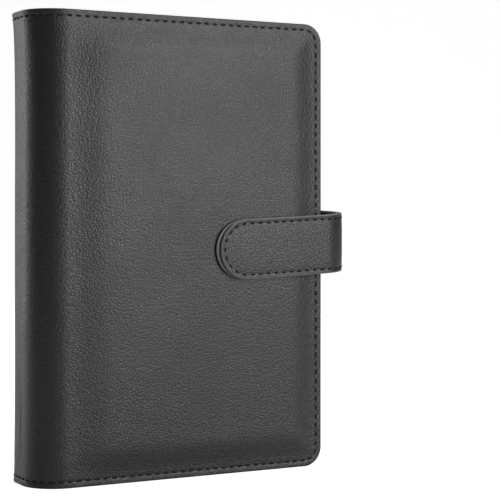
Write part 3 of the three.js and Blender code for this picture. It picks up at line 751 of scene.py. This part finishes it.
def strapLayerPiece(name, openLift, hiddenLift, peek, material):
    # peek is how far this layer runs past the other at the tip
    sign = 1 if openLift > hiddenLift else -1
    outer, inner, rims = [], [], []
    for along in alongSteps:
        past = max(along - strapFlat, 0)
        width = math.sqrt(max(tipRadius ** 2 - past ** 2, 0))
        spots = [share * width for share in acrossShares]
        edges = [strapEdge(along, v) for v in spots]
        crowns = [strap["crown"] * smooth(strap["crownFrom"], strap["crownTo"], e) for e in edges]
        dips = [rounding(e, strap["edgeRound"]) + seamDip(e, strap["seamInset"]) for e in edges]
        lifts = [openLift - sign * (dip - crown) for dip, crown in zip(dips, crowns)]
        hiddenLifts = [hiddenLift + sign * rounding(e, strap["hiddenRound"]) for e in edges]
        further = along + peek * smooth(strapRun - 1.6 * tipRadius, strapRun, along)
        outer.append([strapPoint(further, v, lift) for v, lift in zip(spots, lifts)])
        inner.append([strapPoint(further, v, lift) for v, lift in zip(spots, hiddenLifts)])
        rims.append([rimShare(e, strap["rim"]) for e in edges])
    return newObject(name, sheetMesh(name, outer, inner, rims), material)


def strapRoute(inset, lift):
    half = tipRadius - inset
    first = strap["seamStart"]
    spots = [(first + (strapFlat - first) * i / routeCount, half) for i in range(routeCount)]
    turns = [math.pi * i / tipCount for i in range(tipCount + 1)]
    spots += [(strapFlat + half * math.sin(a), half * math.cos(a)) for a in turns]
    spots += [(along, -half) for along, across in reversed(spots[:routeCount])]
    route = []
    for along, across in spots:
        point = strapPoint(along, across, lift)
        above = strapPoint(along, across, lift + math.copysign(1, lift))
        route.append((point, (above - point).normalized()))
    return route


halfGap = strap["layerGap"] / 2
faceLift = halfGap + strap["layer"]
stitchLift = faceLift - seam["groove"]
strapTop = strapLayerPiece("strap_leather", faceLift, 2 * halfGap, 0, leathers["strapLeather"])
strapBack = strapLayerPiece("strap_backing", -faceLift, -2 * halfGap,
                            strap["peek"], leathers["strapLeather"])
strapRoutes = [strapRoute(strap["seamInset"], lift) for lift in (stitchLift, -stitchLift)]
strapSewing = stitchPiece("strap_stitches", strapRoutes, strap["stitchLength"])
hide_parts("strap_outer")
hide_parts("strap_lining")
for piece in (strapTop, strapBack, strapSewing):
    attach(piece, "strap")
print("strap made")


# Inside the front cover: slip panel, card pockets and pen loop.
pockets = {
    "thickness": 0.5, "panelWidth": 73, "margin": 5.6, "foot": 20.4, "drops": [55.6, 74.8, 94.7],
    "edgeRound": 0.2, "rim": 0.3, "groove": 0.08, "grooveWidth": 0.5,
    "seamInset": 2.0, "seamSink": 0.06, "stitchLength": 2.0,
}
loop = {
    "length": 23, "height": 19.5, "rise": 7.6, "wall": 1.1, "arch": 19, "drop": 23.5, "inset": 0.4,
    "tab": 4, "outerRound": 0.4, "innerRound": 0.3, "seamInset": 1.8,
}
panelRight = album["reach"] - pockets["margin"]
panelLeft = panelRight - pockets["panelWidth"]
panelTop = album["height"] - pockets["margin"]
slabStops = [0, 0.08, 0.2, 0.4, 0.8, 1.6]
inward = Vector((0, 1, 0))


def layerAt(index):
    return album["gap"] - album["innerHalf"] + index * (pockets["thickness"] + album["gap"])


def slabSteps(low, high, count):
    near = slabStops[-1]
    middle = [low + near + (high - low - 2 * near) * i / count for i in range(1, count)]
    return [low + v for v in slabStops] + middle + [high - v for v in reversed(slabStops)]


def slabPiece(name, foot, top, layer):
    # thin panel with rounded edges on its open side, which faces +Y
    back = layerAt(layer)
    outer, inner, rims = [], [], []
    heights = slabSteps(foot, top, 60)
    for x in slabSteps(panelLeft, panelRight, 30):
        edges = [min(x - panelLeft, panelRight - x, z - foot, top - z) for z in heights]
        grooves = [math.exp(-((e - pockets["seamInset"]) / pockets["grooveWidth"]) ** 2) for e in edges]
        lifts = [pockets["thickness"] - rounding(e, pockets["edgeRound"]) - pockets["groove"] * groove
                 for e, groove in zip(edges, grooves)]
        outer.append([place(x, back + lift, z) for z, lift in zip(heights, lifts)])
        inner.append([place(x, back, z) for z in heights])
        rims.append([rimShare(e, pockets["rim"]) for e in edges])
    piece = newObject(name, sheetMesh(name, outer, inner, rims), leathers["insideLeather"])
    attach(piece, "front_cover")
    return piece


def lineRoute(*points):
    # straight runs of a seam whose stitches face into the album
    route = []
    for first, last in zip(points, points[1:]):
        count = max(int(math.dist(first, last)), 1)
        for i in range(count):
            route.append((place(*(a + (b - a) * i / count for a, b in zip(first, last))), inward))
    return route + [(place(*points[-1]), inward)]


def seamLayer(index):
    return layerAt(index) + pockets["thickness"] - pockets["seamSink"]


panel = slabPiece("slip_panel_leather", pockets["margin"], panelTop, 0)
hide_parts("slip_panel")
inset = pockets["seamInset"]
left, right = panelLeft + inset, panelRight - inset
y = seamLayer(0)
pocketRoutes = [lineRoute((left, y, pockets["margin"] + inset), (left, y, panelTop - inset),
                          (right, y, panelTop - inset))]
feet = [album["height"] - drop for drop in pockets["drops"][1:]] + [pockets["foot"] + inset]
for index, (drop, low) in enumerate(zip(pockets["drops"], feet), 1):
    top = album["height"] - drop
    pocket = slabPiece(f"card_pocket_{index}_leather", pockets["foot"], top, index)
    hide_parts(f"card_pocket_{index}")
    y = seamLayer(index)
    pocketRoutes.append(lineRoute(
        (left, y, low), (left, y, top - inset), (right, y, top - inset), (right, y, low)))
pocketRoutes.append(lineRoute((panelLeft + 2 * inset, y, low), (panelRight - 2 * inset, y, low)))

loopLeft = panelRight - loop["length"] - loop["inset"]
loopFoot = album["height"] - loop["drop"] - loop["height"]
loopBase = layerAt(1)
half = loop["arch"] / 2
wall = loop["wall"]
band = [(loop["length"] - loop["tab"] * i / 6, wall / 2) for i in range(6)]
band += [(half + (half - wall / 2) * math.cos(a), wall / 2 + (loop["rise"] - wall) * math.sin(a))
         for a in [math.pi * i / 40 for i in range(1, 41)]]
band += [(wall / 2 + (loop["arch"] - wall) * i / 12, wall / 2) for i in range(1, 13)]
loopOuter, loopInner, loopRims = [], [], []
loopSteps = [0, 0.08, 0.2, 0.4, 0.8, 1.4, 2, 2.6, 4, 7, 9.75]
loopSteps = loopSteps + [loop["height"] - v for v in reversed(loopSteps[:-1])]
loopEdges = [min(v, loop["height"] - v) for v in loopSteps]
for index, (x, y) in enumerate(band):
    before, after = band[max(index - 1, 0)], band[min(index + 1, len(band) - 1)]
    tangent = Vector((after[0] - before[0], after[1] - before[1])).normalized()
    normal = Vector((tangent.y, -tangent.x))
    for grid, way, radius in ((loopOuter, 1, loop["outerRound"]), (loopInner, -1, loop["innerRound"])):
        shifts = [normal * way * (wall / 2 - rounding(e, radius)) for e in loopEdges]
        grid.append([place(loopLeft + x + shift.x, loopBase + y + shift.y, loopFoot + v)
                     for v, shift in zip(loopSteps, shifts)])
    loopRims.append([rimShare(e, pockets["rim"]) for e in loopEdges])
loopMesh = sheetMesh("pen_loop_leather", loopOuter, loopInner, loopRims)
penLoop = newObject("pen_loop_leather", loopMesh, leathers["coverLeather"])
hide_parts("pen_loop")
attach(penLoop, "front_cover")
tabX, tabY = loopLeft + loop["length"] - loop["seamInset"], loopBase + wall
pocketRoutes.append(lineRoute((tabX, tabY, loopFoot + 1), (tabX, tabY, loopFoot + loop["height"] - 1)))
pocketSewing = stitchPiece("pocket_stitches", pocketRoutes, pockets["stitchLength"])
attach(pocketSewing, "front_cover")
print("pockets and pen loop made")


# Ring mechanism: base plate, rivets and half rings; the rails under the plate keep their CAD shape.
mechanism = {
    "plateLength": 180, "plateWidth": 19, "wall": 1.4, "rise": 3.3, "endRadius": 5, "plateEdge": 0.7,
    "base": 5.5, "ringRadius": 12, "wireRadius": 1.25, "wireEnd": 145, "tipGap": 0.3, "centre": 17.804,
    "pitch": 19, "middlePitch": 51, "rivetSpacing": 167, "rivetRadius": 3.2, "rivetHeight": 1.2,
}
ringHeights = [midHeight + sign * (mechanism["middlePitch"] / 2 + step * mechanism["pitch"])
               for sign in (-1, 1) for step in range(3)]
plateOuter, plateInner, plateRims = [], [], []
halfWidth, endRadius = mechanism["plateWidth"] / 2, mechanism["endRadius"]
plateLength, plateCount = mechanism["plateLength"], 60
plateFoot = midHeight - plateLength / 2
ends = [endRadius * (1 - math.cos(math.radians(a))) for a in (0, 6, 14, 24, 36, 50, 65, 80, 90)]
lengths = ends + [endRadius + (plateLength - 2 * endRadius) * i / plateCount for i in range(1, plateCount)]
lengths += [plateLength - v for v in reversed(ends)]
shares = [0, 0.2, 0.4, 0.55, 0.7, 0.82, 0.9, 0.95, 0.985, 1]
shares = [-v for v in reversed(shares[1:])] + shares
for share in shares:
    outerRow, innerRow = [], []
    for along in lengths:
        past = max(endRadius - min(along, plateLength - along), 0)
        width = halfWidth - endRadius + math.sqrt(max(endRadius ** 2 - past ** 2, 0))
        y = share * width
        edge = width - abs(y)
        if past:
            edge = min(edge, endRadius - past)
        arch = (1 - (abs(y) / halfWidth) ** 2) ** 0.8
        height = mechanism["wall"] + (mechanism["rise"] - mechanism["wall"]) * arch
        height -= rounding(min(edge, mechanism["plateEdge"]), mechanism["plateEdge"])
        outerRow.append(place(mechanism["base"] + height, y, plateFoot + along))
        innerRow.append(place(mechanism["base"], y, plateFoot + along))
    plateOuter.append(outerRow)
    plateInner.append(innerRow)
    plateRims.append([0.0] * len(lengths))
plateMesh = sheetMesh("base_plate_chrome", plateOuter, plateInner, plateRims)
plate = newObject("base_plate_chrome", plateMesh, chrome, 40)
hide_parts("ring_base_plate")
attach(plate, "spine")


def domeMesh(name, spots, radius, height, base, sides=32):
    # a round head at each spot; rows are the radius and height of its rings of points
    rows = [(radius, 0), (radius, 0.15), (radius * 0.97, height * 0.35), (radius * 0.86, height * 0.65),
            (radius * 0.62, height * 0.88), (radius * 0.3, height)]
    turns = [2 * math.pi * i / sides for i in range(sides)]
    mesh = bpy.data.meshes.new(name)
    builder = bmesh.new()
    for z in spots:
        loops = [[builder.verts.new(place(base + h, r * math.cos(a), z + r * math.sin(a))) for a in turns]
                 for r, h in rows]
        for low, high in zip(loops, loops[1:]):
            for i in range(sides):
                after = (i + 1) % sides
                builder.faces.new((low[i], low[after], high[after], high[i]))
        builder.faces.new(loops[0][::-1])
        builder.faces.new(loops[-1])
    bmesh.ops.recalc_face_normals(builder, faces=builder.faces)
    builder.to_mesh(mesh)
    builder.free()
    return mesh


rivetSpots = [midHeight + sign * mechanism["rivetSpacing"] / 2 for sign in (-1, 1)]
rivetMesh = domeMesh("plate_rivet_heads", rivetSpots, mechanism["rivetRadius"],
                     mechanism["rivetHeight"], mechanism["base"] + mechanism["rise"])
rivets = newObject("plate_rivet_heads", rivetMesh, chrome, 35)
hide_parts("plate_rivet_1", "plate_rivet_2")
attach(rivets, "spine")
tipAngle = mechanism["tipGap"] / 2 / mechanism["ringRadius"]
sweep = math.radians(mechanism["wireEnd"]) - tipAngle
ringSizes = {"Ring Radius": mechanism["ringRadius"] / 1000, "Wire Radius": mechanism["wireRadius"] / 1000,
             "Sweep": sweep, "Material": chrome}
ringCentres = [place(mechanism["centre"], 0, z) for z in ringHeights]
for name, start in (("front", -math.radians(mechanism["wireEnd"])), ("back", tipAngle)):
    rings = runTree(name + "_rings", ringCentres, [], halfRings, {**ringSizes, "From": start})
    rings.data.set_sharp_from_angle(angle=math.radians(40))
    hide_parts(*[f"{name}_half_ring_{i}" for i in range(1, 7)])
    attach(rings, "ring_" + name)
print("ring mechanism made")


# The CAD nodes that keep their shape get their finish here.
def dress(name, material):
    for materialSlot in nodes[name].material_slots:
        materialSlot.material = material


for name in ("front_cover_foam", "back_cover_foam", "spine_foam"):
    dress(name, foam)
for name in ("front_cover_board", "back_cover_board", "spine_board"):
    dress(name, greyBoard)
for name in ("cover_magnet", "strap_magnet"):
    dress(name, magnetSteel)
for name in ("front_rail", "back_rail"):
    dress(name, chrome)
for index in range(1, 9):
    sleeveFilm = filmMaterial(f"clearFilm{index}", *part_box(f"sleeve_{index}"))
    dress(f"sleeve_{index}", sleeveFilm)
    notePrint = noteMaterial(f"notePrint{index}", *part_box(f"note_{index}"), noteColours[index % 4])
    dress(f"note_{index}", notePrint)
print("sleeves and notes dressed")


# Stage, light and camera
# Degrees and millimetres, fitted to the photograph
shot = {"turn": 28.37, "right": 24.8, "back": 638.8, "height": 110.4, "lens": 109.46, "shiftY": -0.0867}
turn = math.radians(shot["turn"])
rightWay = Vector((math.cos(turn), -math.sin(turn), 0))
awayWay = Vector((math.sin(turn), math.cos(turn), 0))
photoCentre = place(74.675, -1.5, 0)  # the fitted camera was measured from this point


def stageSpot(right, away, up):
    return photoCentre + rightWay * right + awayWay * away + Vector((0, 0, up))


# How bright the background is, how much of it reflections show, and the room's own fill light
background = {"floor": 0.82, "floorInReflections": 0.2, "wall": 1.0, "wallInReflections": 0.1, "fill": 0.03}


def showsBackground(tree, glossyShare):
    rays = tree.nodes.new("ShaderNodeLightPath").outputs
    direct = calc(tree, "MAXIMUM", rays["Is Camera Ray"], rays["Is Transmission Ray"])
    return calc(tree, "MAXIMUM", direct, calc(tree, "MULTIPLY", rays["Is Glossy Ray"], glossyShare))


def stageMaterial():
    material, tree, shader, where = newMaterial(
        "paleStage", Base_Color=(0.8, 0.8, 0.8, 1), Roughness=0.9, Emission_Color=(1, 1, 1, 1))
    share = showsBackground(tree, background["floorInReflections"])
    glow = calc(tree, "MULTIPLY", share, background["floor"])
    tree.links.new(glow, shader.inputs["Emission Strength"])
    return material


# Metres away from the camera and up
sweepSize = {"near": -1.5, "bendFrom": 1.6, "bend": 0.9, "top": 3.2, "halfWidth": 4}
bend = sweepSize["bend"]
profile = [(sweepSize["near"], 0)]
profile += [(sweepSize["bendFrom"] + bend * math.sin(a), bend - bend * math.cos(a))
            for a in [math.pi / 2 * i / 16 for i in range(17)]]
profile += [(sweepSize["bendFrom"] + bend, sweepSize["top"])]
stageMesh = bpy.data.meshes.new("paleSweep")
stageSides = (-sweepSize["halfWidth"], sweepSize["halfWidth"])
stagePoints = [stageSpot(side, away, up) for away, up in profile for side in stageSides]
stageFaces = [(2 * i, 2 * i + 1, 2 * i + 3, 2 * i + 2) for i in range(len(profile) - 1)]
stageMesh.from_pydata(stagePoints, [], stageFaces)
stage = newObject("pale_sweep", stageMesh, stageMaterial())
stage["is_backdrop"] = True

world = bpy.data.worlds.new("studio")
bpy.context.scene.world = world
world.use_nodes = True
sky = world.node_tree.nodes["Background"]
sky.inputs["Color"].default_value = (1, 1, 1, 1)
share = showsBackground(world.node_tree, background["wallInReflections"])
skyRange = background["wall"] - background["fill"]
skyStrength = calc(world.node_tree, "MULTIPLY_ADD", share, skyRange, background["fill"])
world.node_tree.links.new(skyStrength, sky.inputs["Strength"])

softboxes = {  # metres, with power in watts
    "rightSoftbox": {"at": (1.15, -0.8, 0.55), "aim": 0.1, "size": (0.85, 1.2), "power": 18},
    "leftSoftbox": {"at": (-1.1, 0.62, 0.5), "aim": 0.1, "size": (0.6, 1.2), "power": 5.5},
    "topSoftbox": {"at": (0.3, 0.5, 1.4), "aim": 0.1, "size": (1.0, 1.0), "power": 8},
}
for name, values in softboxes.items():
    data = bpy.data.lights.new(name, "AREA")
    data.shape = "RECTANGLE"
    data.size, data.size_y = values["size"]
    data.energy = values["power"]
    lamp = bpy.data.objects.new(name, data)
    lamp.location = stageSpot(*values["at"])
    towards = stageSpot(0, 0, values["aim"]) - lamp.location
    lamp.rotation_euler = towards.to_track_quat("-Z", "Y").to_euler()
    bpy.context.scene.collection.objects.link(lamp)

camera = bpy.data.objects.new("camera", bpy.data.cameras.new("camera"))
camera.data.lens = shot["lens"]
camera.data.sensor_width = 36
camera.data.shift_y = shot["shiftY"]
camera.data.clip_start = 0.01
camera.location = stageSpot(shot["right"] / 1000, -shot["back"] / 1000, shot["height"] / 1000)
camera.rotation_euler = (math.pi / 2, 0, -turn)
bpy.context.scene.collection.objects.link(camera)
bpy.context.scene.camera = camera
bpy.context.scene.view_settings.view_transform = "Standard"
print("stage, light and camera set")

low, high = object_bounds()
